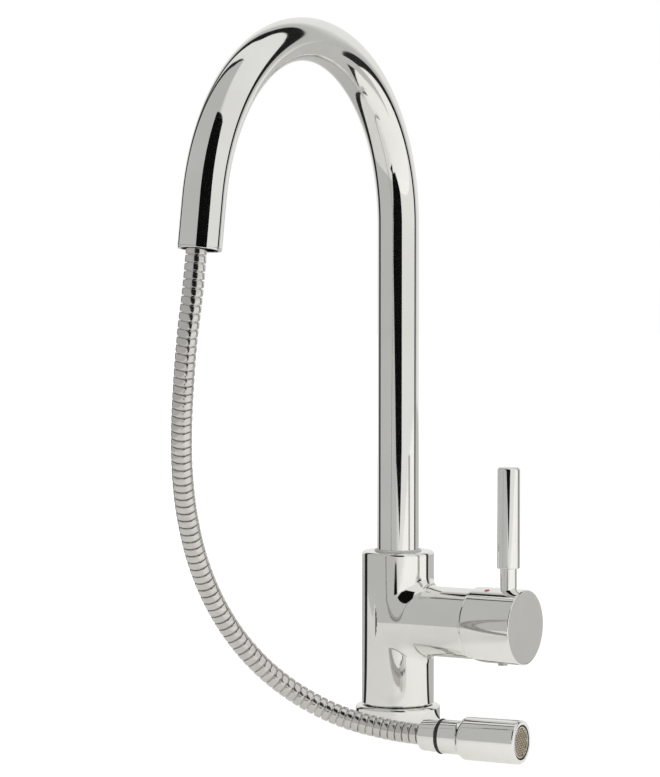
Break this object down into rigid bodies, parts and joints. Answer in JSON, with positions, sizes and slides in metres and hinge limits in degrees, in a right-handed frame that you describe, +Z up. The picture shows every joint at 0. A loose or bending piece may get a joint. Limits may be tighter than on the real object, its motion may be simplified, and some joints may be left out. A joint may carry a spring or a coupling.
{
  "type": "pull-down kitchen faucet",
  "caption": "Chrome kitchen mixer tap: round body, side lever on a ceramic cartridge, swivelling gooseneck spout and a pull-down spray head drawn out on its metal hose.",
  "frame": {"origin": "centre of the base on the deck surface", "axes": "+Z up along the column, the spout reaches towards -Y, the side branch and lever are on +X"},
  "size_m": [0.1955, 0.2882, 0.4699],
  "materials": {
    "polished_chrome": "polished chrome plate over brass",
    "machined_brass": "machined brass",
    "stainless_steel": "plain stainless steel",
    "hose_steel": "bright interlocked stainless strip",
    "white_acetal": "natural acetal",
    "grey_nylon": "grey glass-filled nylon",
    "black_rubber": "black rubber",
    "alumina_ceramic": "lapped alumina ceramic",
    "aerator_mesh": "woven stainless mesh, warm grey",
    "red_plastic": "red gloss plastic",
    "blue_plastic": "blue gloss plastic"
  },
  "bodies": {
    "mixer": {"base_flange": "polished_chrome", "base_seal": "black_rubber", "mixer_body": "polished_chrome", "swivel_bush": "white_acetal", "spout_retaining_screw": "stainless_steel", "cartridge_seal": "black_rubber", "cartridge_base": "white_acetal", "fixed_ceramic_disc": "alumina_ceramic", "cartridge_housing": "white_acetal", "cartridge_nut": "machined_brass", "cartridge_dome": "polished_chrome"},
    "temperature_rotor": {"cartridge_rotor": "grey_nylon", "lever_pin": "stainless_steel"},
    "sliding_disc": {"moving_ceramic_disc": "alumina_ceramic", "disc_carrier": "grey_nylon"},
    "lever": {"lever_cap": "polished_chrome", "lever_handle": "polished_chrome", "lever_set_screw": "stainless_steel", "cartridge_stem": "stainless_steel", "hot_mark": "red_plastic", "cold_mark": "blue_plastic"},
    "spout": {"spout_tube": "polished_chrome", "spout_foot": "machined_brass", "outlet_bush": "polished_chrome", "hose_in_spout": "hose_steel", "hose": "hose_steel", "hose_ferrule": "machined_brass"},
    "spray_head": {"spray_collar": "polished_chrome", "hose_washer": "black_rubber", "collar_seal": "black_rubber", "spray_shell": "polished_chrome", "check_valve": "grey_nylon", "aerator_washer": "black_rubber", "aerator_housing": "polished_chrome", "aerator_core": "grey_nylon", "aerator_mesh": "aerator_mesh"}
  },
  "joints": [
    {"name": "spout_swivel", "type": "hinge", "parent": "mixer", "child": "spout", "pos_m": [0, 0, 0.1156], "axis": [0, 0, 1], "range_deg": [-180, 180]},
    {"name": "temperature", "type": "hinge", "parent": "mixer", "child": "temperature_rotor", "pos_m": [0.061, 0, 0.0694], "axis": [1, 0, 0], "range_deg": [-45, 45]},
    {"name": "flow", "type": "hinge", "parent": "temperature_rotor", "child": "lever", "pos_m": [0.061, 0, 0.0694], "axis": [0, 1, 0], "range_deg": [0, 18]},
    {"name": "disc_slide", "type": "slide", "parent": "temperature_rotor", "child": "sliding_disc", "axis": [0, 0, 1], "range_m": [0, 0.0022]},
    {"name": "spray_swivel", "type": "hinge", "parent": "spout", "child": "spray_head", "pos_m": [0.0916, -0.12836, 0.0142], "axis": [0.9986, 0.0523, 0], "continuous": true}
  ],
  "couplings": [
    {"joint": "disc_slide", "follows": "flow", "m_per_rad": 0.00688}
  ]
}
